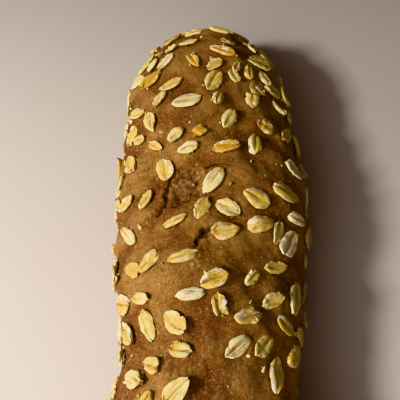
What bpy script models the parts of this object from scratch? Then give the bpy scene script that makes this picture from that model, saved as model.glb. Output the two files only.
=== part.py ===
"""Oat bread: one long roll of brown bread with rolled oat flakes baked onto its crust.

The roll lies along Y on its flat sole, with its far end at +Y, and Z points up.  The origin is under the
middle of the roll, on the surface that it rests on.  All sizes are in metres and all angles in radians.

A place on the crust is given by two numbers: how far along the roll it is from the far end, and the angle
round the roll's axis, which is 0 at the right side, a quarter turn at the top and half a turn at the left.
"""

import math

import bmesh
import bpy
import numpy as np
from mathutils import Matrix, Vector

NAME = "loaf"
COLLECTION = "oat_bread"

# Driving dimensions of the roll
ROLL_LENGTH = 0.280
ROLL_WIDTH = 0.0740
ROLL_HEIGHT = 0.0465

# The roll narrows and sinks towards its near half
NARROWING = 0.18
SINKING = 0.08
NARROW_FROM = 0.116
NARROW_TO = 0.190

# How far in from each end the width and the height are rounded off, and how blunt the ends are
END_WIDTH_REACH = 0.073
END_WIDTH_BLUNTNESS = 2.7
END_HEIGHT_REACH = 0.048
END_HEIGHT_BLUNTNESS = 2.3
END_LIFT = 0.22

# The section: its widest line as a share of the height, and the fullness of its sides and of its underside
WIDEST = 0.42
SIDE_FULLNESS = 0.95
UNDERSIDE_FULLNESS = 0.80
SOLE_PRESS = 1.12

# The axis swings sideways by this much between its ends
AXIS_SWING = 0.0020
AXIS_SWING_LENGTH = 0.300

# Swing and lumps lean the roll to the right, so the finished roll is moved back over the origin
SIDE_SHIFT = -0.0021

# Slow lumps of the crust: height of each wave, and its shortest and longest wavelength
LUMP_HEIGHT = 0.00042
LUMP_WAVES = 9
LUMP_SHORTEST = 0.032
LUMP_LONGEST = 0.090
LUMP_SEED = 20

# A dent or a bare place reaches no further than this through the roll
PATCH_DEPTH = 0.02

# Steps along and round between the points that give the crust's slope, and the least length of a direction
FRAME_STEP = 0.0004
FRAME_TURN = 0.01
TINY = 1e-9

# Dents: distance from the far end, angle, radius along, radius round and depth
DENTS = (
    (0.167, math.radians(168), 0.013, 0.014, 0.0018),
    (0.114, math.radians(106), 0.012, 0.009, 0.0008),
    (0.136, math.radians(92), 0.009, 0.009, 0.0008),
    (0.105, math.radians(88), 0.006, 0.008, 0.0006),
)

# Tears in the crust: distance from the far end, angle, half length, half width, turn and depth
TEARS = (
    (0.1135, math.radians(105), 0.0078, 0.0052, math.radians(-15), 0.0012),
    (0.1145, math.radians(117), 0.0075, 0.0010, math.radians(2), 0.0015),
    (0.1354, math.radians(91), 0.0055, 0.0013, math.radians(45), 0.0017),
    (0.1048, math.radians(89), 0.0032, 0.0009, math.radians(70), 0.0012),
)
TEAR_UNEVENNESS = 0.16
TEAR_SEED = 5

# The mesh of the bare roll
RINGS = 36
SIDES = 36

# Oat flakes
FLAKE_COUNT = 205
FLAKE_SEED = 6139
FLAKE_LENGTH = 0.0092
FLAKE_LENGTH_SPREAD = 0.16
FLAKE_SHORTEST = 0.0056
FLAKE_LONGEST = 0.0122
FLAKE_SLIMMEST = 0.46
FLAKE_BROADEST = 0.74
FLAKE_STANDS = 0.0008
FLAKE_ROOT = 0.0013
FLAKE_SIDES = 7
FLAKE_TOP = 0.84
FLAKE_ROOM = 0.93
LEANING_SHARE = 0.14
LEANING_OFFSET = 0.72
LEANING_LIFT = 0.0005
LARGEST_SHARE = 0.2
LOWEST_ANGLE = math.radians(-14)
HIGHEST_ANGLE = math.radians(194)
END_MARGIN = 0.003
GRID_ALONG = 220
GRID_ROUND = 120
DRAWS = 3000

# Places with fewer flakes: distance from the far end, angle, radius along, radius round, share left out
BARE_PLACES = (
    (0.114, math.radians(107), 0.014, 0.011, 0.99),
    (0.136, math.radians(92), 0.007, 0.007, 0.97),
    (0.128, math.radians(124), 0.013, 0.009, 0.85),
    (0.172, math.radians(88), 0.024, 0.009, 0.85),
    (0.095, math.radians(90), 0.008, 0.008, 0.60),
)

# How thickly flakes lie at the widest line, how much more above it, and how much more in the far end
WIDEST_LINE_SHARE = 0.575
UPWARD_SHARE = 0.9
FAR_SHARE = 1.35
FAR_REACH = 0.085
FAR_FADE = 4

# Finishes, and the angle from which an edge is sharp
CRUST_COLOUR = (0.155, 0.068, 0.018, 1.0)
CRUST_ROUGHNESS = 0.6
OATS_COLOUR = (0.62, 0.43, 0.15, 1.0)
OATS_ROUGHNESS = 0.55
SHARP_FROM = math.radians(35)


def clear_scene():
    """Remove the objects that the scene starts with."""
    for thing in list(bpy.data.objects):
        bpy.data.objects.remove(thing, do_unlink=True)


def rounding(inward, reach, bluntness):
    """Share of the full size at a distance inward from an end: a superellipse quarter of that reach."""
    left = np.clip(1.0 - inward / reach, 0.0, 1.0)
    return np.sqrt(np.clip(1.0 - left**bluntness, 0.0, 1.0))


def narrowing(along):
    """0 in the far half and 1 in the near half, with a smooth step between."""
    share = np.clip((along - NARROW_FROM) / (NARROW_TO - NARROW_FROM), 0.0, 1.0)
    return share * share * (3.0 - 2.0 * share)


def smooth_crust(along, angle):
    """Points of the roll without lumps: a superellipse section swept along the axis."""
    inward = np.minimum(along, ROLL_LENGTH - along)
    near = narrowing(along)
    half = 0.5 * ROLL_WIDTH * rounding(inward, END_WIDTH_REACH, END_WIDTH_BLUNTNESS)
    half = half * (1.0 - NARROWING * near)
    full = ROLL_HEIGHT * (1.0 - SINKING * near)
    height = full * rounding(inward, END_HEIGHT_REACH, END_HEIGHT_BLUNTNESS)
    across = np.cos(angle)
    upward = np.sin(angle)
    swing = AXIS_SWING * np.sin(2.0 * math.pi * along / AXIS_SWING_LENGTH)
    x = swing + half * np.sign(across) * np.abs(across) ** SIDE_FULLNESS
    above = WIDEST + (1.0 - WIDEST) * np.abs(upward)
    below = WIDEST * (1.0 - SOLE_PRESS * np.abs(upward) ** UNDERSIDE_FULLNESS)
    z = np.where(upward > 0.0, above, below) * height + END_LIFT * (full - height)
    return np.stack([x, 0.5 * ROLL_LENGTH - along, z], axis=-1)


def lump_waves():
    """Directions, wave numbers and phases of the slow lumps."""
    draw = np.random.default_rng(LUMP_SEED)
    way = draw.normal(size=(LUMP_WAVES, 3))
    way /= np.linalg.norm(way, axis=1, keepdims=True)
    length = draw.uniform(LUMP_SHORTEST, LUMP_LONGEST, LUMP_WAVES)
    phase = draw.uniform(0.0, 2.0 * math.pi, LUMP_WAVES)
    return way * (2.0 * math.pi / length)[:, None], phase


def outward(points):
    """Directions away from the roll's core, a straight line that stops short of both ends."""
    core = points.copy()
    stop = 0.5 * (ROLL_LENGTH - ROLL_HEIGHT)
    core[..., 0] = 0.0
    core[..., 1] = np.clip(points[..., 1], -stop, stop)
    core[..., 2] = WIDEST * ROLL_HEIGHT
    away = points - core
    return away / np.maximum(np.linalg.norm(away, axis=-1, keepdims=True), TINY)


def patch(points, along, angle, reach_along, reach_round):
    """A smooth bump of height 1 round a place on the crust, fading over the two reaches."""
    centre = smooth_crust(np.array(along), np.array(angle))
    gap = points - centre
    way = outward(centre)
    flat = gap - (gap @ way)[..., None] * way
    run = flat[..., 1] / reach_along
    side = np.linalg.norm(flat[..., [0, 2]], axis=-1) / reach_round
    near = np.exp(-(run**2) - side**2)
    return np.where(gap @ way > -PATCH_DEPTH, near, 0.0)


def crust(along, angle):
    """Points of the roll with its lumps and dents, and with the sole pressed flat."""
    points = smooth_crust(along, angle)
    waves, phase = lump_waves()
    rise = LUMP_HEIGHT * np.sin(points @ waves.T + phase).sum(axis=-1)
    for place in DENTS:
        rise = rise - place[4] * patch(points, *place[:4])
    points = points + outward(points) * rise[..., None]
    points[..., 2] = np.maximum(points[..., 2], 0.0)
    return points


def crust_frame(along, angle):
    """Place, direction towards the far end, direction round the roll and outward normal at one point."""
    here = crust(np.array([along, along - FRAME_STEP, along + FRAME_STEP, along, along]),
                 np.array([angle, angle, angle, angle - FRAME_TURN, angle + FRAME_TURN]))
    forward = Vector(here[1] - here[2]).normalized()
    side = Vector(here[4] - here[3])
    normal = side.cross(forward).normalized()
    if normal.dot(Vector(outward(here[0]))) < 0.0:
        normal = -normal
    side = forward.cross(normal).normalized()
    return Vector(here[0]), forward, side, normal


def flake_share(points, along, angle):
    """How thickly the flakes lie: most in the far end, fewer low on the sides, few at the bare places."""
    share = np.clip(WIDEST_LINE_SHARE + UPWARD_SHARE * np.sin(angle), 0.0, 1.0)
    share = share * (1.0 + (FAR_SHARE - 1.0) * np.exp(-((along / FAR_REACH) ** FAR_FADE)))
    for place in BARE_PLACES:
        share = share * (1.0 - place[4] * patch(points, *place[:4]))
    return share


def flake_ground():
    """A grid over the crust that flakes lie on, and the chance that one falls in each of its cells."""
    along, angle = np.meshgrid(np.linspace(END_MARGIN, ROLL_LENGTH - END_MARGIN, GRID_ALONG),
                               np.linspace(LOWEST_ANGLE, HIGHEST_ANGLE, GRID_ROUND), indexing="ij")
    points = crust(along, angle)
    area = np.linalg.norm(np.cross(np.gradient(points, axis=0), np.gradient(points, axis=1)), axis=-1)
    weight = area * flake_share(points, along, angle)
    return along, angle, weight / weight.sum()


def flake_draws(draw):
    """Places drawn by chance on that ground, each moved by up to half a cell."""
    along, angle, chance = flake_ground()
    cell = draw.choice(chance.size, size=DRAWS, p=chance.ravel())
    half_along = 0.5 * (along[1, 0] - along[0, 0])
    half_round = 0.5 * (angle[0, 1] - angle[0, 0])
    return (along.ravel()[cell] + draw.uniform(-half_along, half_along, DRAWS),
            angle.ravel()[cell] + draw.uniform(-half_round, half_round, DRAWS))


def flake_places():
    """Every flake, largest first: along, angle, length, width, turn and whether it leans on another.

    A flake takes the next drawn place that leaves all earlier flakes their room.  One that leans takes the
    drawn place whose distance from an earlier flake is nearest to the wanted offset.
    """
    draw = np.random.default_rng(FLAKE_SEED)
    length = FLAKE_LENGTH * np.exp(draw.normal(0.0, FLAKE_LENGTH_SPREAD, FLAKE_COUNT))
    length = np.sort(np.clip(length, FLAKE_SHORTEST, FLAKE_LONGEST))[::-1]
    width = length * draw.uniform(FLAKE_SLIMMEST, FLAKE_BROADEST, FLAKE_COUNT)
    turn = draw.uniform(0.0, math.pi, FLAKE_COUNT)
    leans = draw.uniform(size=FLAKE_COUNT) < LEANING_SHARE
    leans[: int(LARGEST_SHARE * FLAKE_COUNT)] = False
    host = draw.uniform(size=FLAKE_COUNT)
    along, angle = flake_draws(draw)
    points = crust(along, angle)
    taken = []
    place = 0
    for i in range(FLAKE_COUNT):
        if leans[i]:
            other = int(host[i] * i)
            wanted = LEANING_OFFSET * 0.5 * (length[i] + length[other])
            gaps = np.linalg.norm(points - points[taken[other]], axis=1)
            taken.append(int(np.argmin(np.abs(gaps - wanted))))
            continue
        least = FLAKE_ROOM * 0.5 * (length[:i] + length[i])
        while (np.linalg.norm(points[taken] - points[place], axis=1) < least).any():
            place += 1
        taken.append(place)
    return list(zip(along[taken], angle[taken], length, width, turn, leans))


def bread_material(name, colour, roughness):
    """A plain dull finish for one part of the bread."""
    material = bpy.data.materials.new(name)
    material.use_nodes = True
    shader = material.node_tree.nodes["Principled BSDF"]
    shader.inputs["Base Color"].default_value = colour
    shader.inputs["Roughness"].default_value = roughness
    shader.inputs["Metallic"].default_value = 0.0
    return material


def make_roll(collection):
    """The bare roll: a sphere whose poles are the ends, with every vertex moved onto the crust."""
    shape = bmesh.new()
    bmesh.ops.create_uvsphere(shape, u_segments=SIDES, v_segments=RINGS, radius=1.0)
    shape.verts.ensure_lookup_table()
    ball = np.array([vertex.co for vertex in shape.verts])
    along = 0.5 * ROLL_LENGTH * (1.0 - np.clip(ball[:, 2], -1.0, 1.0))
    angle = np.arctan2(ball[:, 1], ball[:, 0])
    for vertex, place in zip(shape.verts, crust(along, angle)):
        vertex.co = place
    bmesh.ops.triangulate(shape, faces=shape.faces)
    bmesh.ops.recalc_face_normals(shape, faces=shape.faces)
    mesh = bpy.data.meshes.new(NAME)
    shape.to_mesh(mesh)
    shape.free()
    roll = bpy.data.objects.new(NAME, mesh)
    collection.objects.link(roll)
    return roll


def place_tool(shape, name, place, turn, sizes, raised, collection, material):
    """Squeeze a unit shape to its sizes, set it on the crust at a place and turn, and keep it as a tool.

    The sizes are its length, its width and its height.  Raised is how far its middle stands off the crust.
    """
    spot, forward, side, normal = crust_frame(*place)
    long_way = forward * math.cos(turn) + side * math.sin(turn)
    short_way = normal.cross(long_way)
    stretch = Matrix((long_way * sizes[0], short_way * sizes[1], normal * sizes[2])).transposed().to_4x4()
    shape.transform(Matrix.Translation(spot + normal * raised) @ stretch)
    bmesh.ops.recalc_face_normals(shape, faces=shape.faces)
    mesh = bpy.data.meshes.new(name)
    shape.to_mesh(mesh)
    shape.free()
    mesh.materials.append(material)
    tool = bpy.data.objects.new(name, mesh)
    tool.hide_render = True
    tool.display_type = "WIRE"
    collection.objects.link(tool)


def make_flake(number, flake, collection, material):
    """One oat flake: a short cone of a few sides, squeezed to an oval, sunk in the crust."""
    along, angle, length, width, turn, leans = flake
    shape = bmesh.new()
    bmesh.ops.create_cone(shape, cap_ends=True, cap_tris=False, segments=FLAKE_SIDES,
                          radius1=0.5, radius2=0.5 * FLAKE_TOP, depth=1.0)
    stands = FLAKE_STANDS + (LEANING_LIFT if leans else 0.0)
    sizes = (length, width, stands + FLAKE_ROOT)
    raised = 0.5 * (stands - FLAKE_ROOT)
    place_tool(shape, f"flake_{number:03d}", (along, angle), turn, sizes, raised, collection, material)


def make_tear(number, tear, collection, material):
    """The cutter for one tear: an uneven ball, squeezed to a shallow oval, with its middle on the crust."""
    along, angle, half_length, half_width, turn, depth = tear
    draw = np.random.default_rng(TEAR_SEED + number)
    shape = bmesh.new()
    bmesh.ops.create_icosphere(shape, subdivisions=2, radius=1.0)
    for vertex in shape.verts:
        vertex.co *= 1.0 + draw.uniform(-TEAR_UNEVENNESS, TEAR_UNEVENNESS)
    sizes = (half_length, half_width, depth)
    place_tool(shape, f"tear_{number:03d}", (along, angle), turn, sizes, 0.0, collection, material)


def work_collection(roll, tools, operation):
    """Join or cut the roll with a whole collection in one Boolean, and apply it."""
    step = roll.modifiers.new(tools.name, "BOOLEAN")
    step.operation = operation
    step.operand_type = "COLLECTION"
    step.collection = tools
    step.solver = "EXACT"
    step.material_mode = "TRANSFER"
    whole = bpy.data.meshes.new_from_object(roll.evaluated_get(bpy.context.evaluated_depsgraph_get()))
    before = roll.data
    roll.modifiers.clear()
    roll.data = whole
    bpy.data.meshes.remove(before)
    whole.name = NAME
    for tool in list(tools.objects):
        bpy.data.objects.remove(tool, do_unlink=True)
    bpy.data.collections.remove(tools)


def main():
    clear_scene()
    scene = bpy.context.scene
    bread = bpy.data.collections.new(COLLECTION)
    cutters = bpy.data.collections.new("tears")
    loose = bpy.data.collections.new("flakes")
    for collection in (bread, cutters, loose):
        scene.collection.children.link(collection)
    roll = make_roll(bread)
    brown = bread_material("crust", CRUST_COLOUR, CRUST_ROUGHNESS)
    oats = bread_material("oats", OATS_COLOUR, OATS_ROUGHNESS)
    roll.data.materials.append(brown)
    for number, tear in enumerate(TEARS):
        make_tear(number, tear, cutters, brown)
    work_collection(roll, cutters, "DIFFERENCE")
    for number, flake in enumerate(flake_places()):
        make_flake(number, flake, loose, oats)
    work_collection(roll, loose, "UNION")
    roll.data.transform(Matrix.Translation((SIDE_SHIFT, 0.0, 0.0)))
    roll.data.shade_smooth()
    roll.data.set_sharp_from_angle(angle=SHARP_FROM)


main()
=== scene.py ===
"""Looks of the oat bread: its crust, its oat flakes, crumbs and flecks, and the stage they are seen on.

The roll's form repeats the named sizes and the rules of its solid, so every flake lies where the solid has
it.  A place on the crust is the distance along the roll from its far end and the angle round its axis, which
is 0 at the right side, a quarter turn at the top and half a turn at the left.  Sizes are in metres, and the
tables of places give their angles in degrees.
"""

import math

import bpy
import numpy as np
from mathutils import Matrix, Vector


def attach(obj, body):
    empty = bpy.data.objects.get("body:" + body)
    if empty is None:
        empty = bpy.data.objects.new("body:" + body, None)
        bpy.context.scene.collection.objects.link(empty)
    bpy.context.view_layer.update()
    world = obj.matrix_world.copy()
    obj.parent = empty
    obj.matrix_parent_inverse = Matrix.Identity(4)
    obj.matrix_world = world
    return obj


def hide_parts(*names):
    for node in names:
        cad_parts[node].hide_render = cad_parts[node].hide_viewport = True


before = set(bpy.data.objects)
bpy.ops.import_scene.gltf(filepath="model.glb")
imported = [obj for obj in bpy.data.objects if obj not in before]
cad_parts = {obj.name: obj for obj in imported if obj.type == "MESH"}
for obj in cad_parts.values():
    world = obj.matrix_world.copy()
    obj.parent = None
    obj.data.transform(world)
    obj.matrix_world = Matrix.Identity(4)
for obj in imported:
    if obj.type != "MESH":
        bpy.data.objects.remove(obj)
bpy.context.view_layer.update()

bl_info = {
    "name": "Oat Bread",
    "version": (1, 0, 0),
    "blender": (4, 5, 0),
    "location": "View3D > Sidebar > Oat Bread",
    "description": "Makes the crust, the oat flakes and the stage of a long oat roll",
    "category": "Object",
}

NODE = "loaf"
BODY = "root"

# Form of the roll, the same as in its solid
ROLL_LENGTH = 0.280
ROLL_WIDTH = 0.0740
ROLL_HEIGHT = 0.0465
NARROWING = 0.18
SINKING = 0.08
NARROW_FROM = 0.116
NARROW_TO = 0.190
END_LIFT = 0.22
WIDEST = 0.42
SIDE_FULLNESS = 0.95
UNDERSIDE_FULLNESS = 0.80
SOLE_PRESS = 1.12
AXIS_SWING = 0.0020
AXIS_SWING_LENGTH = 0.300
SIDE_SHIFT = -0.0021
LUMP_HEIGHT = 0.00042
LUMP_WAVES = 9
LUMP_SHORTEST = 0.032
LUMP_LONGEST = 0.090
LUMP_SEED = 20

# Rounded ends: how far from the end they reach and how blunt they are
END_WIDTH = (0.073, 2.7)
END_HEIGHT = (0.048, 2.3)

# Dents: distance from the far end, angle, reach along, reach round and depth
DENTS = (
    (0.167, 168, 0.013, 0.014, 0.0018),
    (0.114, 106, 0.012, 0.009, 0.0008),
    (0.136, 92, 0.009, 0.009, 0.0008),
    (0.105, 88, 0.006, 0.008, 0.0006),
)

# Tears in the crust: distance from the far end, angle, half length, half width, turn in degrees and depth,
# and for a crack how far it bows across, in its half widths
TORN_PATCH = (0.1135, 105, 0.0078, 0.0052, -15, 0.0007)
CRACKS = (
    (0.1145, 117, 0.0078, 0.0012, 2, 0.001275, 0.5),
    (0.1350, 91, 0.0067, 0.0018, 45, 0.001650, 1.2),
    (0.1048, 89, 0.0032, 0.0009, 70, 0.000900, 0.4),
    (0.1226, 119.5, 0.0034, 0.0013, 31, 0.001200, 0.3),
    (0.1211, 108.5, 0.0026, 0.0006, 63, 0.000600, -0.5),
    (0.1066, 116.5, 0.0026, 0.0007, 56, 0.000675, 0.4),
)

# Pinched places at the sides, given as the dents are
PINCHES = (
    (0.168, 166, 0.014, 0.016, 0.0015),
)

# Wrinkled places: distance from the far end, angle, reach along, reach round
WRINKLES = (
    (0.1667, 160, 0.009, 0.008),
    (0.1008, 138, 0.008, 0.006),
    (0.1776, 111, 0.010, 0.008),
    (0.1830, 92, 0.009, 0.008),
    (0.1390, 88, 0.006, 0.006),
    (0.0690, 118, 0.010, 0.008),
    (0.1790, 150, 0.013, 0.006),
)

# Scabby places with pale broken skin, given in the same way
SCABS = (
    (0.1100, 95, 0.0040, 0.0028),
    (0.1465, 95, 0.0034, 0.0030),
    (0.1200, 58, 0.0045, 0.0035),
    (0.1250, 127, 0.0040, 0.0026),
    (0.0780, 76, 0.0036, 0.0030),
)

# Oat flakes
FLAKE_COUNT = 205
FLAKE_SEED = 6139
FLAKE_LENGTH = 0.0092
FLAKE_LENGTH_SPREAD = 0.16
FLAKE_SHORTEST = 0.0056
FLAKE_LONGEST = 0.0122
FLAKE_SLIMMEST = 0.46
FLAKE_BROADEST = 0.74
FLAKE_ROOM = 0.93
LEANING_SHARE = 0.14
LEANING_OFFSET = 0.72
LARGEST_SHARE = 0.2
LOWEST_ANGLE = math.radians(-14)
HIGHEST_ANGLE = math.radians(194)
END_MARGIN = 0.003
GRID_ALONG = 220
GRID_ROUND = 120
DRAWS = 3000

# Places with few flakes, given as the dents are but with the share that is missing
BARE_PLACES = (
    (0.114, 107, 0.014, 0.011, 0.99),
    (0.136, 92, 0.007, 0.007, 0.97),
    (0.128, 124, 0.013, 0.009, 0.85),
    (0.172, 88, 0.024, 0.009, 0.85),
    (0.095, 90, 0.008, 0.008, 0.60),
)

# How much thicker the flakes lie at the far end, and how far from it
FAR_SHARE = 1.35
FAR_REACH = 0.085

# Kinds of flake: the name of the piece, its share among all, and how far whole flakes of it are browned
KINDS = (
    ("oats_golden", 0.77, 0.45),
    ("oats_pale", 0.13, 0.15),
    ("oats_toasted", 0.10, 0.75),
)
CRUMB_BROWNING = 0.5

# Seeds of the finer draws
KIND_SEED = 41
FLAKE_FORM_SEED = 11
TILT_SEED = 17
CRUMB_SEED = 23
FLECK_SEED = 31
RELIEF_SEED = 53

# Layers of relief: height, wavelength and number of the noise
ROLLS = (0.00040, 0.0170, 30)
HOLLOWS = (0.00021, 0.0082, 31)
SKIN_WAVES = (0.00009, 0.0052, 0)
SKIN_GRAIN = (0.00006, 0.0024, 3)
CRUMB_GRAIN = (0.00016, 0.0016, 8)
CRUMB_LUMPS = (0.00020, 0.0031, 9)
NOISE_WAVES = 26

# Unevenness of the torn patch's edge, given in the same way but in its half sizes
RAGGED_EDGE = (0.16, 0.0042, 1)
RAGGED_RIM = (0.07, 0.0017, 2)

# Heights and depths of the crust's small forms
FOLD_HEIGHT = 0.00016
PORE_DEPTH = 0.0006
THREAD_HEIGHT = 0.00034
LIP_HEIGHT = 0.00040
WRINKLE_HEIGHT = 0.00045
THIN_WRINKLE_HEIGHT = 0.00016
WRINKLE_SINK = 0.00028
SCAB_HEIGHT = 0.00020
SOCKET_LIP = 0.00022
SOCKET_DEPTH = 0.00025

# Slow relief that its material counts as 1, and the depth of the finest relief of the crust and of the oats
SWELL_UNIT = 0.00042
CRUST_BUMP = 0.00085
OATS_BUMP = 0.00046

# How far from its place a dent, a tear or a socket still counts, and where the relief fades near the floor
PATCH_DEPTH = 0.02
TEAR_REACH = 0.012
SOCKET_REACH = 0.009
SOLE_FADE = 0.004
CLEAR_HEIGHT = 0.003

# Steps over which the crust's gradients are taken
SMALL_RUN = 0.0004
SMALL_TURN = 0.01

# Mesh of the crust: where its top ends on both sides, and where its lines lie closer round the tears
LOW_RIGHT = math.radians(-27)
LOW_LEFT = math.radians(207)
TEARS_ALONG = (0.122, 0.024)
TEARS_ROUND = (math.radians(105), math.radians(21))
CROWDED = 2.2
FINE_ROWS = 6001
FINE_COLUMNS = 4001

# Meshes of a flake and of a crumb: stations along it, points over its top and points underneath
FLAKE_MESH = (22, 15, 4)
CRUMB_MESH = (6, 5, 2)

# Flakes on the crust: how fast a short one gets thinner, where the drape fades near the ends, how far away
# the crust under them is looked for, and their least height above the floor
THINNING_LENGTH = 0.005
DRAPE_FROM = 0.010
DRAPE_TO = 0.022
GROUND_MARGIN = 0.0005
GROUND_TURN = 0.6
FLAKE_CLEARANCE = 0.0004

# Crumbs and bran flecks
CRUMB_SHORTEST = 0.0012
CRUMB_SPREAD = 0.0030
RIM_BIT_LENGTHS = (0.0005, 0.0016)
FLECK_SIZES = (0.00018, 0.00042)
FLECK_HEIGHT = 0.00022
FLECK_RISE = 0.00008
FLECK_CLEARANCE = 0.0002
FLECK_MARGIN = 0.002
LOWEST_FLECK = math.radians(-35)
HIGHEST_FLECK = math.radians(215)

# Points that the lights look at
KEY_AIM = (0.0, 0.02, 0.02)
FILL_AIM = (0.0, 0.0, 0.02)


def unit(vectors):
    """The same directions with length 1, or nearly 0 where the length is nothing."""
    return vectors / np.maximum(np.linalg.norm(vectors, axis=-1, keepdims=True), 1e-9)


def rounding(inward, reach, bluntness):
    """Share of the full size at a distance inward from an end: a superellipse quarter of that reach."""
    left = np.clip(1.0 - inward / reach, 0.0, 1.0)
    return np.sqrt(np.clip(1.0 - left**bluntness, 0.0, 1.0))


def smooth_crust(along, angle):
    """Points of the roll without lumps: a superellipse section swept along it, narrower in the near half."""
    inward = np.minimum(along, ROLL_LENGTH - along)
    near = step(NARROW_FROM, NARROW_TO, along)
    half = 0.5 * ROLL_WIDTH * rounding(inward, *END_WIDTH)
    half = half * (1.0 - NARROWING * near)
    full = ROLL_HEIGHT * (1.0 - SINKING * near)
    height = full * rounding(inward, *END_HEIGHT)
    across = np.cos(angle)
    upward = np.sin(angle)
    swing = AXIS_SWING * np.sin(2.0 * math.pi * along / AXIS_SWING_LENGTH)
    x = swing + half * np.sign(across) * np.abs(across) ** SIDE_FULLNESS
    above = WIDEST + (1.0 - WIDEST) * np.abs(upward)
    below = WIDEST * (1.0 - SOLE_PRESS * np.abs(upward) ** UNDERSIDE_FULLNESS)
    z = np.where(upward > 0.0, above, below) * height + END_LIFT * (full - height)
    return np.stack([x, 0.5 * ROLL_LENGTH - along, z], axis=-1)


def lump_waves():
    """Directions, wave numbers and phases of the slow lumps."""
    draw = np.random.default_rng(LUMP_SEED)
    way = unit(draw.normal(size=(LUMP_WAVES, 3)))
    length = draw.uniform(LUMP_SHORTEST, LUMP_LONGEST, LUMP_WAVES)
    phase = draw.uniform(0.0, 2.0 * math.pi, LUMP_WAVES)
    return way * (2.0 * math.pi / length)[:, None], phase


def outward(points):
    """Directions away from the roll's core, a straight line that stops short of both ends."""
    core = points.copy()
    stop = 0.5 * (ROLL_LENGTH - ROLL_HEIGHT)
    core[..., 0] = 0.0
    core[..., 1] = np.clip(points[..., 1], -stop, stop)
    core[..., 2] = WIDEST * ROLL_HEIGHT
    return unit(points - core)


def patch(points, along, angle, reach_along, reach_round):
    """A smooth bump of height 1 round a place on the crust, its angle in degrees, fading over two reaches."""
    centre = smooth_crust(np.array(along), np.array(math.radians(angle)))
    gap = points - centre
    way = outward(centre)
    flat = gap - (gap @ way)[..., None] * way
    run = flat[..., 1] / reach_along
    side = np.linalg.norm(flat[..., [0, 2]], axis=-1) / reach_round
    near = np.exp(-(run**2) - side**2)
    return np.where(gap @ way > -PATCH_DEPTH, near, 0.0)


def crust(along, angle):
    """Points of the roll with its lumps and dents, and with the sole pressed flat."""
    points = smooth_crust(along, angle)
    waves, phase = lump_waves()
    rise = LUMP_HEIGHT * np.sin(points @ waves.T + phase).sum(axis=-1)
    for place in DENTS:
        rise = rise - place[4] * patch(points, *place[:4])
    points = points + outward(points) * rise[..., None]
    points[..., 2] = np.maximum(points[..., 2], 0.0)
    return points


def flake_share(points, along, angle):
    """How thickly the flakes lie: most in the far end, fewer low on the sides, few at the bare places."""
    share = np.clip(0.575 + 0.9 * np.sin(angle), 0.0, 1.0)
    share = share * (1.0 + (FAR_SHARE - 1.0) * np.exp(-((along / FAR_REACH) ** 4)))
    for place in BARE_PLACES:
        share = share * (1.0 - place[4] * patch(points, *place[:4]))
    return share


def flake_draws(draw):
    """Places drawn by chance on the ground that flakes lie on, each moved by up to half a cell.

    The ground is a grid over the crust.  The chance of each cell is its area times the flakes' share there.
    """
    along, angle = np.meshgrid(np.linspace(END_MARGIN, ROLL_LENGTH - END_MARGIN, GRID_ALONG),
                               np.linspace(LOWEST_ANGLE, HIGHEST_ANGLE, GRID_ROUND), indexing="ij")
    points = crust(along, angle)
    area = np.linalg.norm(np.cross(np.gradient(points, axis=0), np.gradient(points, axis=1)), axis=-1)
    weight = area * flake_share(points, along, angle)
    cell = draw.choice(weight.size, size=DRAWS, p=(weight / weight.sum()).ravel())
    half_along = 0.5 * (along[1, 0] - along[0, 0])
    half_round = 0.5 * (angle[0, 1] - angle[0, 0])
    return (along.ravel()[cell] + draw.uniform(-half_along, half_along, DRAWS),
            angle.ravel()[cell] + draw.uniform(-half_round, half_round, DRAWS))


def flake_places():
    """Every flake, largest first, as arrays: along, angle, length, width, turn, and its host or -1.

    A flake takes the next drawn place that leaves all earlier flakes their room.  One that leans takes the
    drawn place whose distance from an earlier flake, its host, is nearest to the wanted offset.
    """
    draw = np.random.default_rng(FLAKE_SEED)
    length = FLAKE_LENGTH * np.exp(draw.normal(0.0, FLAKE_LENGTH_SPREAD, FLAKE_COUNT))
    length = np.sort(np.clip(length, FLAKE_SHORTEST, FLAKE_LONGEST))[::-1]
    width = length * draw.uniform(FLAKE_SLIMMEST, FLAKE_BROADEST, FLAKE_COUNT)
    turn = draw.uniform(0.0, math.pi, FLAKE_COUNT)
    leans = draw.uniform(size=FLAKE_COUNT) < LEANING_SHARE
    leans[: int(LARGEST_SHARE * FLAKE_COUNT)] = False
    host = draw.uniform(size=FLAKE_COUNT)
    along, angle = flake_draws(draw)
    points = crust(along, angle)
    taken = []
    hosts = np.full(FLAKE_COUNT, -1)
    place = 0
    for i in range(FLAKE_COUNT):
        if leans[i]:
            hosts[i] = int(host[i] * i)
            wanted = LEANING_OFFSET * 0.5 * (length[i] + length[hosts[i]])
            gaps = np.linalg.norm(points - points[taken[hosts[i]]], axis=1)
            taken.append(int(np.argmin(np.abs(gaps - wanted))))
            continue
        least = FLAKE_ROOM * 0.5 * (length[:i] + length[i])
        while (np.linalg.norm(points[taken] - points[place], axis=1) < least).any():
            place += 1
        taken.append(place)
    return along[taken], angle[taken], length, width, turn, hosts


def noise(points, wavelength, number):
    """Even smooth noise of mean square 1: plane waves of about one length in random directions, added up.

    Each number gives another noise.
    """
    draw = np.random.default_rng(RELIEF_SEED + number)
    way = unit(draw.normal(size=(NOISE_WAVES, 3)))
    waves = 2.0 * math.pi / (wavelength * draw.uniform(0.72, 1.4, NOISE_WAVES))
    phase = draw.uniform(0.0, 2.0 * math.pi, NOISE_WAVES)
    return math.sqrt(2.0 / NOISE_WAVES) * np.sin(points @ (way * waves[:, None]).T + phase).sum(axis=-1)


def ridges(points, wavelength, number):
    """Sharp ridges of height 1 along the lines where a noise is 0, down to 0 where it is 1 or more."""
    return 1.0 - np.minimum(np.abs(noise(points, wavelength, number)), 1.0)


def layer(points, kind):
    """One layer of relief: a noise of that kind's wavelength and number, times its height."""
    height, wavelength, number = kind
    return height * noise(points, wavelength, number)


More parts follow.
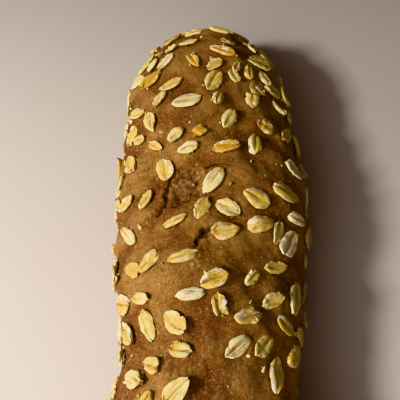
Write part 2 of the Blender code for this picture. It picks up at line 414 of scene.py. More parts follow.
def step(low, high, value):
    """0 below low and 1 above high, with a smooth step between."""
    share = np.clip((value - low) / (high - low), 0.0, 1.0)
    return share * share * (3.0 - 2.0 * share)


def slow_relief(points):
    """Height of the crust's rolls and hollows of about a centimetre, which the flakes ride on too."""
    rise = layer(points, ROLLS) + layer(points, HOLLOWS)
    for place in PINCHES:
        rise = rise - place[4] * patch(points, *place[:4])
    return rise * step(0.0, SOLE_FADE, points[..., 2])


def surface_frames(along, angle, turn=0.0):
    """Points, unit directions along and across what is turned so far there, normals, and the raw gradients.

    The gradients, towards the far end and round the roll, are central differences of the crust's formula, and
    the normal is their cross product.  A turn of 0 looks towards the far end.
    """
    points = crust(along, angle)
    run = (crust(along - SMALL_RUN, angle) - crust(along + SMALL_RUN, angle)) / (2.0 * SMALL_RUN)
    round_ = (crust(along, angle + SMALL_TURN) - crust(along, angle - SMALL_TURN)) / (2.0 * SMALL_TURN)
    forward = unit(run)
    normal = unit(np.cross(round_, forward))
    flip = np.sign((normal * outward(points)).sum(axis=-1, keepdims=True))
    normal = normal * np.where(flip == 0.0, 1.0, flip)
    turn = np.asarray(turn)[..., None]
    long_way = forward * np.cos(turn) + np.cross(forward, normal) * np.sin(turn)
    return points, long_way, np.cross(normal, long_way), normal, run, round_


def tear_coordinates(points, tear):
    """Coordinates along and across a tear in its own half sizes, and 1 near the crust there or 0 far off."""
    along, angle, half_length, half_width, turn = tear[:5]
    angles = np.radians([angle, turn])
    spot, long_way, short_way, normal, _, _ = surface_frames(np.array(along), *angles)
    gap = points - spot
    near = np.abs(gap @ normal) < TEAR_REACH
    return gap @ long_way / half_length, gap @ short_way / half_width, near


def torn_share(points):
    """1 inside the torn patch and 0 outside, with a ragged edge: a distance in its half sizes plus noise."""
    p, q, near = tear_coordinates(points, TORN_PATCH)
    reach = np.sqrt(p**2 + q**2) + layer(points, RAGGED_EDGE) + layer(points, RAGGED_RIM)
    return (1.0 - step(0.78, 1.12, reach)) * near


def crack_share(points, crack, number):
    """1 along the bottom of a crack and 0 beyond its walls, and the same for the lips on both its sides.

    The line is a parabola with some noise across, and its width falls to nothing at both ends.
    """
    p, q, near = tear_coordinates(points, crack)
    bow = crack[6] * (p**2 - 0.4)
    bend = bow + 0.22 * noise(points, 0.0040, 10 + number)
    width = 0.9 * np.clip(1.0 - p**2, 0.0, 1.0) ** 0.7 * (1.0 - 0.3 * p)
    width = width * (1.0 + 0.18 * noise(points, 0.0021, 20 + number))
    inside = np.clip(1.0 - np.abs(q + bend) / np.maximum(width, 1e-3), 0.0, 1.0)
    lip = np.exp(-(p**2) - ((np.abs(q + bow) - 1.6) / 0.8) ** 2)
    return inside**0.7 * near, lip * near


def grid_faces(rows, columns):
    """Quads of a grid of rows by columns whose last column joins its first, as an array of corners."""
    row, column = np.meshgrid(np.arange(rows - 1), np.arange(columns), indexing="ij")
    after = (column + 1) % columns
    here = row * columns
    corners = [here + column, here + after, here + columns + after, here + columns + column]
    return np.stack(corners, axis=-1).reshape(-1, 4)


def fan_faces(ring, pole, turned):
    """Triangles from a ring of corners to its pole."""
    after = np.roll(ring, -1)
    middle = np.full(len(ring), pole)
    corners = [after, ring, middle] if turned else [ring, after, middle]
    return np.stack(corners, axis=-1)


def closed_faces(rows, columns):
    """Quads and end triangles of a closed skin whose two poles come right after its grid of points."""
    poles = rows * columns
    first = np.arange(columns)
    last = first + (rows - 1) * columns
    ends = [fan_faces(first, poles, True), fan_faces(last, poles + 1, False)]
    return grid_faces(rows, columns), np.concatenate(ends)


def mesh_piece(name, points, quads, triangles, attributes, material):
    """A named piece from arrays of points, quads and triangles, with float and vector point attributes."""
    mesh = bpy.data.meshes.new(name)
    mesh.vertices.add(len(points))
    mesh.vertices.foreach_set("co", np.ascontiguousarray(points, np.float32).ravel())
    loops = np.concatenate([quads.ravel(), triangles.ravel()])
    starts = np.concatenate([np.arange(len(quads)) * 4, len(quads) * 4 + np.arange(len(triangles)) * 3])
    mesh.loops.add(len(loops))
    mesh.loops.foreach_set("vertex_index", loops.astype(np.int32))
    mesh.polygons.add(len(starts))
    mesh.polygons.foreach_set("loop_start", starts.astype(np.int32))
    for label, values in attributes.items():
        kind, key = ("FLOAT_VECTOR", "vector") if values.ndim == 2 else ("FLOAT", "value")
        values_layer = mesh.attributes.new(label, kind, "POINT")
        values_layer.data.foreach_set(key, np.ascontiguousarray(values, np.float32).ravel())
    mesh.update(calc_edges=True)
    if mesh.validate():
        raise RuntimeError(f"{name} had faces that had to be mended")
    mesh.shade_smooth()
    mesh.materials.append(material)
    piece = bpy.data.objects.new(name, mesh)
    bpy.context.scene.collection.objects.link(piece)
    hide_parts(NODE)
    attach(piece, BODY)


def add_node(tree, kind, inputs=(), **settings):
    """A shader node with its settings, and its inputs by name or number as values or links."""
    node = tree.nodes.new(kind)
    for key, value in settings.items():
        setattr(node, key, value)
    for key, value in dict(inputs).items():
        if isinstance(value, bpy.types.NodeSocket):
            tree.links.new(value, node.inputs[key])
        else:
            node.inputs[key].default_value = value
    return node


def mix_colours(tree, share, first, second):
    """Colour output that goes from the first colour to the second as the share goes from 0 to 1."""
    node = add_node(tree, "ShaderNodeMix", data_type="RGBA", inputs={"Factor": share, 6: first, 7: second})
    return node.outputs[2]


def calculate(tree, operation, first, second=0.0, third=0.0):
    """Output of one Math node."""
    node = add_node(tree, "ShaderNodeMath", operation=operation, inputs={0: first, 1: second, 2: third})
    return node.outputs[0]


def tint(tree, under, over, *shares):
    """Colour output of one colour laid over another as far as the product of the shares goes."""
    share = shares[0]
    for other in shares[1:]:
        share = calculate(tree, "MULTIPLY", share, other)
    return mix_colours(tree, share, under, over)


def ramp(tree, value, low, high, low_to=0.0, high_to=1.0):
    """Value mapped from low and high to two other numbers, with a smooth step and no overshoot."""
    node = add_node(tree, "ShaderNodeMapRange", interpolation_type="SMOOTHSTEP", clamp=True, inputs={
        "Value": value, "From Min": low, "From Max": high, "To Min": low_to, "To Max": high_to})
    return node.outputs[0]


def grain(tree, place, scale, detail=3.0, roughness=0.55, distortion=0.0):
    """Noise texture output at a place, with about that many grains to the metre."""
    node = add_node(tree, "ShaderNodeTexNoise", inputs={
        "Vector": place, "Scale": scale, "Detail": detail, "Roughness": roughness, "Distortion": distortion})
    return node.outputs["Fac"]


def cells(tree, place, scale):
    """Distance output of a Voronoi texture at a place, 0 in the middle of each cell."""
    node = add_node(tree, "ShaderNodeTexVoronoi", inputs={"Vector": place, "Scale": scale})
    return node.outputs["Distance"]


def attribute(tree, name, output="Fac"):
    """Output of a mesh attribute."""
    return add_node(tree, "ShaderNodeAttribute", attribute_name=name).outputs[output]


def object_place(tree):
    """Object coordinates."""
    return add_node(tree, "ShaderNodeTexCoord").outputs["Object"]


def drawn_out(tree, place, share):
    """A place squeezed along a flake to that share, so that what is drawn there runs along the flake."""
    node = add_node(tree, "ShaderNodeVectorMath", operation="MULTIPLY",
                    inputs={0: place, 1: (share, 1.0, 1.0)})
    return node.outputs[0]


def start_material(name, specular):
    """A new material, its tree and its Principled shader."""
    material = bpy.data.materials.new(name)
    material.use_nodes = True
    tree = material.node_tree
    shader = tree.nodes["Principled BSDF"]
    shader.inputs["Specular IOR Level"].default_value = specular
    return material, tree, shader


def add_bump(tree, shader, height, distance):
    """Small relief from a height output, that distance deep."""
    node = add_node(tree, "ShaderNodeBump", inputs={"Height": height, "Distance": distance, "Strength": 1.0})
    tree.links.new(node.outputs["Normal"], shader.inputs["Normal"])


def crust_material(look):
    """Baked crust: slow mottling between browns, darker baked blotches, torn crumb, flour and bran specks,
    with painted shade in the hollows, cracks and pits, lighter raised places and painted sheen on the wrinkle
    crests.
    """
    material, tree, shader = start_material("crust", 0.12)
    place = object_place(tree)
    swell = attribute(tree, "swell")
    fine = grain(tree, place, 700.0, 5.0, 0.7)
    dust = grain(tree, place, 1900.0, 4.0, 0.7)
    # Painted light: the crust is painted lighter where the slow relief stands high, over a slow random
    # mottling.
    raised = calculate(tree, "MULTIPLY_ADD", swell, 0.075, grain(tree, place, 62.0, 4.0, 0.62, 0.5))
    baked_blotches_and_hollow_shade = calculate(tree, "MULTIPLY_ADD", swell, -0.09, grain(tree, place, 26.0, 3.0, 0.5, 0.8))
    colour = mix_colours(tree, ramp(tree, raised, 0.33, 0.66), look.crust_dark, look.crust_light)
    # The first entry paints shade into the hollows of the slow relief together with baked blotches; the rest
    # are fine grain.
    for value, low, high, most, over in (
            (baked_blotches_and_hollow_shade, 0.48, 0.76, 0.45, look.crust_baked_and_shade),
            (fine, 0.50, 0.72, 0.48, look.crust_straw),
            (fine, 0.46, 0.30, 0.60, look.crust_baked_and_shade),
            (dust, 0.55, 0.64, 0.70, look.crust_straw),
            (dust, 0.45, 0.34, 0.45, look.crust_baked_and_shade)):
        colour = tint(tree, colour, over, ramp(tree, value, low, high, 0.0, most))
    colour = tint(tree, colour, look.speck, ramp(tree, cells(tree, place, 560.0), 0.17, 0.05),
                  ramp(tree, grain(tree, place, 130.0, 2.0), 0.48, 0.60), 0.70)
    # Painted shade: near-black spots in small cells stand for the shade in tiny pits.
    colour = tint(tree, colour, look.crack, ramp(tree, cells(tree, place, 420.0), 0.17, 0.06),
                  ramp(tree, grain(tree, place, 90.0, 2.0), 0.48, 0.58), 0.75)
    # In the torn crumb the raised threads are painted lighter, and the pits between them get painted shade.
    crumb_tone_and_pit_shade = calculate(tree, "MULTIPLY_ADD", swell, 0.09, grain(tree, place, 520.0, 4.0))
    crumb = mix_colours(tree, ramp(tree, crumb_tone_and_pit_shade, 0.34, 0.70), look.crust_baked_and_shade, look.crumb)
    colour = tint(tree, colour, crumb, attribute(tree, "torn"), 0.80)
    # Painted shade: near black at the bottoms of the cracks and in the pores.
    colour = tint(tree, colour, look.crack, attribute(tree, "crack"))
    # Pale broken skin at the torn edge and the scabs, and painted sheen on the wrinkle crests.
    colour = tint(tree, colour, look.flour, attribute(tree, "skin"),
                  ramp(tree, grain(tree, place, 900.0), 0.46, 0.60))
    colour = tint(tree, colour, look.flour, ramp(tree, grain(tree, place, 40.0, 3.0, 0.6, 0.5), 0.58, 0.74),
                  ramp(tree, grain(tree, place, 1100.0, 3.0), 0.52, 0.66), 0.30)
    tree.links.new(colour, shader.inputs["Base Color"])
    rough = ramp(tree, grain(tree, place, 240.0, 4.0), 0.3, 0.7, look.crust_roughness - 0.08,
                 look.crust_roughness + 0.10)
    tree.links.new(rough, shader.inputs["Roughness"])
    height = calculate(tree, "MULTIPLY_ADD", fine, 0.55, calculate(tree, "MULTIPLY", dust, 0.45))
    add_bump(tree, shader, height, CRUST_BUMP)
    return material


def oats_material(name, look, body, ends):
    """Rolled oat: cream with golden streaks, brown veins, toasted ends, a floury rim and a dark crease line,
    which is partly painted shade.
    """
    material, tree, shader = start_material(name, 0.35)
    place = attribute(tree, "grain", "Vector")
    tone = attribute(tree, "tone")
    toast = attribute(tree, "toast")
    crease = attribute(tree, "crease")
    from_side = attribute(tree, "across")
    across = calculate(tree, "ABSOLUTE", from_side)
    slow = grain(tree, place, 330.0, 3.0, 0.55)
    fine = grain(tree, place, 1500.0, 4.0, 0.65)
    fibre = grain(tree, drawn_out(tree, place, 0.22), 1900.0, 3.0, 0.6, 0.6)
    veins = grain(tree, drawn_out(tree, place, 0.12), 1150.0, 2.0, 0.5, 1.0)
    toned = calculate(tree, "MULTIPLY_ADD", tone, 0.35, slow)
    colour = mix_colours(tree, ramp(tree, toned, 0.47, 0.76), body, ends)
    colour = tint(tree, colour, look.oat_white, ramp(tree, fibre, 0.50, 0.72, 0.0, 0.45))
    colour = tint(tree, colour, ends, ramp(tree, fibre, 0.47, 0.30, 0.0, 0.45))
    colour = tint(tree, colour, look.oat_white, ramp(tree, fine, 0.56, 0.70, 0.0, 0.55))
    vein = calculate(tree, "MULTIPLY", ramp(tree, veins, 0.45, 0.37), ramp(tree, across, 0.95, 0.35))
    colour = tint(tree, colour, look.oat_husk, vein, 0.60)
    colour = tint(tree, colour, look.oat_golden, ramp(tree, across, 0.34, 0.05), crease, 0.70)
    browned = ramp(tree, calculate(tree, "MULTIPLY_ADD", slow, 0.8, toast), 0.75, 1.35)
    colour = tint(tree, colour, look.oat_toasted, browned, 0.85)
    burnt = ramp(tree, calculate(tree, "MULTIPLY_ADD", fine, 0.5, toast), 1.08, 1.35)
    colour = tint(tree, colour, look.oat_burnt_and_crease_shade, burnt, 0.8)
    colour = tint(tree, colour, look.oat_white, attribute(tree, "rim"),
                  ramp(tree, grain(tree, place, 520.0, 3.0), 0.44, 0.60), 0.62)
    one_side = ramp(tree, calculate(tree, "MULTIPLY_ADD", from_side, 0.16, slow), 0.57, 0.66)
    colour = tint(tree, colour, look.oat_flour, one_side, ramp(tree, tone, 0.60, 0.64),
                  ramp(tree, fibre, 0.34, 0.50), 0.85)
    # Dark line along the crease: the oat's own seam, together with painted shade in the groove.
    line = ramp(tree, calculate(tree, "MULTIPLY_ADD", fine, 0.12, across), 0.24, 0.09)
    colour = tint(tree, colour, look.oat_burnt_and_crease_shade, line, ramp(tree, crease, 0.20, 0.60), 0.85)
    tree.links.new(colour, shader.inputs["Base Color"])
    tree.links.new(ramp(tree, fine, 0.3, 0.7, 0.48, 0.72), shader.inputs["Roughness"])
    height = calculate(tree, "MULTIPLY_ADD", fibre, 0.55, calculate(tree, "MULTIPLY", fine, 0.45))
    height = calculate(tree, "MULTIPLY_ADD", vein, -0.5, height)
    add_bump(tree, shader, height, OATS_BUMP)
    return material


def fleck_material(look):
    """Bran flecks and crumbs of flour: straw to pale, each fleck its own tone."""
    material, tree, shader = start_material("bran_flecks", 0.3)
    tone = attribute(tree, "tone")
    colour = mix_colours(tree, tone, look.speck, look.flour)
    spots = grain(tree, object_place(tree), 2600.0, 2.0)
    colour = mix_colours(tree, ramp(tree, spots, 0.4, 0.7, 0.0, 0.5), colour, look.crust_light)
    tree.links.new(colour, shader.inputs["Base Color"])
    tree.links.new(ramp(tree, spots, 0.3, 0.7, 0.55, 0.75), shader.inputs["Roughness"])
    return material


def floor_material(view):
    """Plain pale floor with a barely seen grain."""
    material, tree, shader = start_material("pale_floor", 0.2)
    spots = grain(tree, object_place(tree), 60.0, 3.0)
    low = [0.985 * part for part in view.floor_colour[:3]] + [1.0]
    tree.links.new(mix_colours(tree, spots, low, view.floor_colour), shader.inputs["Base Color"])
    tree.links.new(ramp(tree, spots, 0.3, 0.7, 0.7, 0.8), shader.inputs["Roughness"])
    return material


def spaced(fine, run, count):
    """That many values out of a fine series, both its ends included, with equal run from one to the next."""
    total = np.concatenate([[0.0], np.cumsum(run)])
    return np.interp(np.linspace(0.0, total[-1], count), total, fine)


def crowding(values, middle, reach):
    """How much closer the mesh is near a value: CROWDED times more in the middle, and 1 beyond the reach."""
    return 1.0 + (CROWDED - 1.0) * np.exp(-(((values - middle) / reach) ** 4))


def even_rows(count):
    """Distances along the roll whose rings lie evenly over the rounded ends too.

    They divide the length of the outline seen from above and from the side, both ends included, evenly,
    but lie closer together round the tears.
    """
    fine = 0.5 * ROLL_LENGTH * (1.0 - np.cos(np.linspace(0.0, math.pi, FINE_ROWS)))
    inward = np.minimum(fine, ROLL_LENGTH - fine)
    half = 0.5 * ROLL_WIDTH * rounding(inward, *END_WIDTH)
    rise = 0.5 * ROLL_HEIGHT * rounding(inward, *END_HEIGHT)
    run = np.sqrt(np.diff(fine) ** 2 + np.diff(half) ** 2 + np.diff(rise) ** 2)
    return spaced(fine, run * crowding(fine[1:], *TEARS_ALONG), count + 2)[1:-1]


def top_columns(count):
    """Angles over the top from low on the right to low on the left, closer together round the tears."""
    fine = np.linspace(LOW_RIGHT, LOW_LEFT, FINE_COLUMNS)
    return spaced(fine, np.diff(fine) * crowding(fine[1:], *TEARS_ROUND), count + 1)[:-1]


def flake_sockets(points, places):
    """Rise of the crust round each flake: a low lip outside its outline, and a slight hollow under it."""
    along, angle, length, width, turn, _ = places
    spots, long_ways, short_ways, _, _, _ = surface_frames(along, angle, turn)
    rise = np.zeros(len(points))
    for i in range(len(along)):
        near = np.flatnonzero(np.abs(points[:, 1] - spots[i, 1]) < SOCKET_REACH)
        near = near[np.linalg.norm(points[near] - spots[i], axis=1) < SOCKET_REACH]
        gap = points[near] - spots[i]
        p = gap @ long_ways[i] / (0.5 * length[i])
        q = gap @ short_ways[i] / (0.5 * width[i])
        reach = np.sqrt(p**2 + q**2)
        rise[near] += SOCKET_LIP * np.exp(-(((reach - 1.18) / 0.20) ** 2))
        rise[near] -= SOCKET_DEPTH * np.exp(-((reach / 0.9) ** 4))
    return rise


def skin_relief(points):
    """Height of the whole skin: two fine noises, and folds along the roll where a slow noise is high."""
    folds = 1.0 - ridges(points * np.array([1.0, 0.45, 1.0]), 0.0046, 4)
    folded = step(0.2, 1.4, noise(points, 0.040, 5))
    return layer(points, SKIN_WAVES) + layer(points, SKIN_GRAIN) + FOLD_HEIGHT * folded * folds


def pore_share(points):
    """Up to 1 in the middle of a pore: the deepest tips of a fine noise, where a slower noise is above 0."""
    tips = np.clip(noise(points, 0.0030, 6) - 2.1, 0.0, 1.0)
    return tips * step(0.0, 1.0, noise(points, 0.022, 7))


def crust_relief(points, places):
    """Fine height of the crust above its form, and the shares that its material reads.

    Sunken crumb with raised threads takes the skin's place in the torn patch, and a crack is a groove with
    raised lips.  A wrinkled place has ridges whose pale crests are painted sheen, and a scabby one raised
    pale bits.  The shares are torn crumb, open crack (painted shade in the cracks and pores), pale skin with
    the
    painted sheen, and swell: how high the slow relief and the threads stand, which the material paints as
    lighter tops and shaded hollows.
    """
    slow = slow_relief(points)
    pores = pore_share(points)
    torn = torn_share(points)
    threads = ridges(points, 0.0022, 33) ** 2 - 0.4
    crumb = layer(points, CRUMB_GRAIN) + layer(points, CRUMB_LUMPS) + THREAD_HEIGHT * threads - TORN_PATCH[5]
    rise = slow + skin_relief(points) * (1.0 - torn) - PORE_DEPTH * pores + torn * crumb
    # Share of painted shade: the pores and the bottoms of the cracks.
    crack_and_pore_shade = 0.5 * pores
    for number, crack in enumerate(CRACKS):
        inside, lip = crack_share(points, crack, number)
        rise = rise - crack[5] * inside + LIP_HEIGHT * lip * (1.0 - inside)
        crack_and_pore_shade = np.maximum(crack_and_pore_shade, 0.9 * step(0.05, 0.75, inside))
    pale = 2.4 * torn * (1.0 - torn) * step(0.0, 1.2, noise(points, 0.0034, 32))
    for number, place in enumerate(WRINKLES):
        near = patch(points, *place)
        creases = ridges(points, 0.0034, 40 + number)
        thin = ridges(points, 0.0021, 60 + number)
        rise = rise + near * (WRINKLE_HEIGHT * creases**2 + THIN_WRINKLE_HEIGHT * thin**2 - WRINKLE_SINK)
        # Painted sheen: the crests of the thin wrinkles are painted pale.
        pale = np.maximum(pale, 0.6 * step(0.2, 0.9, near) * step(0.72, 0.98, thin))
    for number, place in enumerate(SCABS):
        near = patch(points, *place)
        bits = noise(points, 0.0019, 50 + number)
        rise = rise + SCAB_HEIGHT * near * bits
        pale = np.maximum(pale, 0.7 * step(0.25, 0.8, near) * step(0.3, 1.2, bits))
    swell = slow / SWELL_UNIT + 3.0 * torn * threads
    return rise + flake_sockets(points, places), {"torn": torn, "crack": crack_and_pore_shade, "swell": swell, "skin": pale}


def make_crust(look):
    """The crust: a closed grid over the roll's form, moved along its normals by the relief."""
    under = np.linspace(LOW_LEFT, LOW_RIGHT + 2.0 * math.pi, look.under_sides, endpoint=False)
    round_angles = np.concatenate([top_columns(look.sides), under])
    along, angle = np.meshgrid(even_rows(look.rings), round_angles, indexing="ij")
    points, _, _, normal, _, _ = surface_frames(along, angle)
    points = points.reshape(-1, 3)
    rise, shares = crust_relief(points, flake_places())
    rise = rise * step(0.0, CLEAR_HEIGHT, points[:, 2])
    points = points + normal.reshape(-1, 3) * rise[:, None]
    points[:, 2] = np.maximum(points[:, 2], 0.0)
    poles = crust(np.array([0.0, ROLL_LENGTH]), np.zeros(2))
    points = np.concatenate([points, poles])
    points[:, 0] += SIDE_SHIFT
    quads, triangles = closed_faces(look.rings, len(round_angles))
    attributes = {label: np.concatenate([values, np.zeros(2)]) for label, values in shares.items()}
    mesh_piece("crust", points, quads, triangles, attributes, crust_material(look))


def side_noise(u, draw, waves_low, waves_high):
    """Noise along the length of each of several flakes: a few sines of random number and phase, for each."""
    number = draw.uniform(waves_low, waves_high, (len(u), 1, 4))
    phase = draw.uniform(0.0, 2.0 * math.pi, (len(u), 1, 4))
    return 0.7 * np.sin(u * number + phase).sum(axis=-1, keepdims=True)


def flake_forms(length, width, draw, look, counts):
    """Local points of many flakes at once, each a closed skin of sections carried along its length.

    Arrays run over the flakes, the stations along a flake (u from -1 to 1) and the points round a section (v
    from -1 to 1), over the top from edge to edge and back underneath.  The half width is a superellipse of u
    with ragged sides, notches and broken ends.  The thickness falls towards the edges, and the middle is
    cupped, bent, twisted, ribbed and creased.  The two poles come last.
    """
    stations, top_points, bottom_points = counts
    count = len(length)
    length = length[:, None, None]

    def each(low, high):
        return draw.uniform(low, high, (count, 1, 1))

    def each_about(middle):
        return draw.normal(middle, 1.0, (count, 1, 1))

    broken = each(0.0, 1.0) < look.broken_share
    reach = np.where(broken, each(0.35, 0.8), 1.0)
    share = np.linspace(0.0, 1.0, stations + 2)[1:-1, None]
    u = -1.0 + (1.0 + reach) * (0.5 - 0.5 * np.cos(math.pi * share))
    point = each(1.8, 2.7)
    body = np.sqrt(np.clip(1.0 - np.abs(u) ** point, 0.0, 1.0)) * (1.0 + each(-0.16, 0.16) * u)
    rag = look.raggedness * (0.5 + step(0.1, 1.0, np.abs(u)))
    left = body * (1.0 + rag * (side_noise(u, draw, 2.0, 7.0) + 0.5 * side_noise(u, draw, 12.0, 26.0)))
    right = body * (1.0 + rag * (side_noise(u, draw, 2.0, 7.0) + 0.9 * side_noise(u, draw, 12.0, 28.0)))
    notch_at = each(-0.75, 0.75)
    notch = np.where(each(0.0, 1.0) < look.notch_share, each(0.15, 0.38), 0.0)
    right = right * (1.0 - notch * np.exp(-(((u - notch_at) / 0.10) ** 2)))
    spread = np.linspace(-1.0, 1.0, top_points)
    over = np.sign(spread) * np.sin(0.5 * math.pi * np.abs(spread) ** 1.35)
    under = -np.sin(np.linspace(-0.5, 0.5, bottom_points + 2)[1:-1] * math.pi)
    across = np.concatenate([over, under])
    upper = np.arange(len(across)) < top_points
    v = across + 0.13 * side_noise(u, draw, 1.0, 3.0) * (1.0 - across**2)
    u = np.broadcast_to(u, v.shape)
    ragged_end = 0.045 * side_noise(v[:, 0, :, None], draw, 3.0, 9.0).swapaxes(1, 2)
    x = length * (0.48 * u + ragged_end * step(0.4, 1.0, np.abs(u) / reach))
    y = 0.5 * width[:, None, None] * np.where(v > 0.0, right, left) * v
    thickness = look.flake_thickness * np.minimum(1.0, 0.3 + length / THINNING_LENGTH)
    thick = thickness * each(0.8, 1.25)
    edge = 0.30 + 0.70 * np.sqrt(np.clip(1.0 - np.abs(v) ** 3.2, 0.0, 1.0))
    ends = np.sqrt(np.clip(1.0 - (np.abs(u) / (reach + 0.02)) ** 8, 0.05, 1.0))
    cup = look.flake_cup * each(-0.5, 1.3) * v**2
    bend = 0.5 * look.flake_cup * each_about(0.3) * u**2
    twist = 0.4 * look.flake_cup * each_about(0.0) * u * v
    strong = step(-1.0, 0.9, u * np.sign(each(-1.0, 1.0)))
    line = (0.25 + 0.75 * strong) * each(0.25, 1.0) ** 1.8 * upper
    crease = 0.50 * thickness * np.exp(-((across / 0.16) ** 2)) * line * ends
    lobes = 0.25 * thickness * np.sin(math.pi * np.clip(np.abs(v), 0.0, 1.0)) ** 1.4 * ends * upper
    ruffle = 0.10 * thickness * side_noise(u[:, :, :1], draw, 6.0, 14.0) * v**2
    ribs = each(5.0, 9.0) * (across + 0.25 * each_about(0.0) * u) + each(0.0, 2.0 * math.pi)
    folds = 0.085 * thickness * np.sin(ribs) * (0.4 + 0.6 * strong) * edge * upper
    skin = 0.5 * np.where(upper, thick, -thick) * edge * ends
    z = cup + bend + twist + ruffle + folds + lobes + skin - crease
    stack = np.stack([x, y, z], axis=-1)
    poles = np.stack([stack[:, 0].mean(axis=1), stack[:, -1].mean(axis=1)], axis=1)
    rim = np.maximum(step(0.55, 1.0, np.abs(v)), step(0.7, 1.0, np.abs(u)))
    return np.concatenate([stack.reshape(count, -1, 3), poles], axis=1), u, {
        "crease": line, "across": across, "rim": rim}


def place_flakes(name, places, lean, lift, draw, look, colours, counts, browning):
    """A piece of many flakes: the local forms set on the crust and partly draped over it.

    Each point goes to its place on the flat plane of the flake, moved by the drape's share towards the crust
    under it, and then out along the normal by its own height, the flake's lift and the rise of its lean.
    The crust under it is found from the gradients of the crust's formula.
    """
    along, angle, length, width, turn = places
    count = len(length)
    local, u, shares = flake_forms(length, width, draw, look, counts)
    spot, long_way, short_way, normal, run, round_ = surface_frames(along, angle, turn)
    shift = local[..., 0:1] * long_way[:, None] + local[..., 1:2] * short_way[:, None]
    down = -(shift * run[:, None]).sum(axis=-1) / (run**2).sum(axis=-1)[:, None]
    turned = (shift * round_[:, None]).sum(axis=-1) / (round_**2).sum(axis=-1)[:, None]
    flat_place = spot[:, None] + shift
    ground = crust(np.clip(along[:, None] + down, GROUND_MARGIN, ROLL_LENGTH - GROUND_MARGIN),
                   angle[:, None] + np.clip(turned, -GROUND_TURN, GROUND_TURN))
    inward = np.minimum(along, ROLL_LENGTH - along)
    hold = (look.flake_drape * step(DRAPE_FROM, DRAPE_TO, inward))[:, None, None]
    slow = slow_relief(spot)[:, None, None]
    height = local[..., 2:3] + lift[:, None, None] + (shift * lean[:, None]).sum(axis=-1, keepdims=True)
    height = height + slow + hold * (slow_relief(ground)[..., None] - slow)
    points = flat_place + hold * (ground - flat_place) + normal[:, None] * height
    points[..., 0] += SIDE_SHIFT
    points[..., 2] = np.maximum(points[..., 2], FLAKE_CLEARANCE)
    ring = counts[1] + counts[2]
    offset = (np.arange(count) * local.shape[1])[:, None, None]
    quads, caps = closed_faces(counts[0], ring)
    quads = (quads[None] + offset).reshape(-1, 4)
    caps = (caps[None] + offset).reshape(-1, 3)
    tone = np.repeat(draw.uniform(0.0, 1.0, count), local.shape[1])
    toasted_end = np.sign(draw.uniform(-1.0, 1.0, (count, 1, 1)))
    whole = browning * draw.beta(1.2, 2.2, (count, 1, 1))
    shares["toast"] = whole + step(0.3, 1.0, u * toasted_end) * draw.uniform(0.0, 1.0, (count, 1, 1))
    texture = local + draw.uniform(0.0, 1.0, (count, 1, 3))
    attributes = {"tone": tone, "grain": texture.reshape(-1, 3)}
    for label, values in shares.items():
        over_grid = np.broadcast_to(values, u.shape).reshape(count, -1)
        attributes[label] = np.concatenate([over_grid, np.zeros((count, 2))], axis=1).ravel()
    material = oats_material(name, look, *colours)
    mesh_piece(name, points.reshape(-1, 3), quads, caps, attributes, material)


def make_flakes(look):
    """The oat flakes, one piece for each kind, at the places that the solid has them."""
    along, angle, length, width, turn, hosts = flake_places()
    spots = crust(along, angle)
    away = unit(spots - spots[hosts])
    leaning = hosts >= 0
    tilts = np.random.default_rng(TILT_SEED).normal(0.0, look.loose_tilt, (len(along), 3))
    lean = np.where(leaning[:, None], -look.lean_slope * away, 0.0) + tilts
    lift = np.where(leaning, look.flake_lift + look.lean_lift, look.flake_lift)
    shares = [share for _, share, _ in KINDS]
    kind = np.random.default_rng(KIND_SEED).choice(len(KINDS), size=len(along), p=shares)
    colours = ((look.oat_cream, look.oat_golden), (look.oat_white, look.oat_cream),
               (look.oat_golden, look.oat_toasted))
    for number, (name, _, browning) in enumerate(KINDS):
        mine = kind == number
        draw = np.random.default_rng(FLAKE_FORM_SEED + number)
        places = [values[mine] for values in (along, angle, length, width, turn)]
        place_flakes(name, places, lean[mine], lift[mine], draw, look, colours[number], FLAKE_MESH, browning)


def rim_places(draw, count):
    """Places for small bits, each at a random bearing from a flake's middle, near the flake's edge there."""
    along, angle, length, width, turn, _ = flake_places()
    host = draw.integers(0, len(along), count)
    bearing = draw.uniform(0.0, 2.0 * math.pi, count)
    out = 0.5 * draw.uniform(0.80, 1.05, count)
    run = out * length[host] * np.cos(bearing)
    over = out * width[host] * np.sin(bearing)
    _, _, _, _, ahead, around = surface_frames(along[host], angle[host])
    turn = turn[host]
    down = (run * np.cos(turn) - over * np.sin(turn)) / np.linalg.norm(ahead, axis=-1)
    back = (run * np.sin(turn) + over * np.cos(turn)) / np.linalg.norm(around, axis=-1)
    return along[host] - down, angle[host] - back


def make_crumbs(look):
    """Broken bits of oat: some between the flakes, drawn over the same ground, and more at their rims."""
    draw = np.random.default_rng(CRUMB_SEED)
    loose, bits = look.crumb_count, look.rim_bits
    count = loose + bits
    along, angle = flake_draws(draw)
    loose_length = CRUMB_SHORTEST + CRUMB_SPREAD * draw.uniform(size=loose) ** 2.2
    rim_along, rim_angle = rim_places(draw, bits)
    along = np.concatenate([along[:loose], rim_along])
    angle = np.concatenate([angle[:loose], rim_angle])
    length = np.concatenate([loose_length, draw.uniform(*RIM_BIT_LENGTHS, bits)])
    width = length * draw.uniform(0.35, 0.8, count)
    turn = draw.uniform(0.0, math.pi, count)
    lift = look.flake_thickness * np.concatenate([np.full(loose, 0.15), draw.uniform(0.1, 0.7, bits)])
    lean = draw.normal(0.0, 0.3, (count, 3))
    places = (np.clip(along, END_MARGIN, ROLL_LENGTH - END_MARGIN), angle, length, width, turn)
    place_flakes("oat_crumbs", places, lean, lift, draw, look, (look.oat_white, look.oat_golden), CRUMB_MESH,
                 CRUMB_BROWNING)


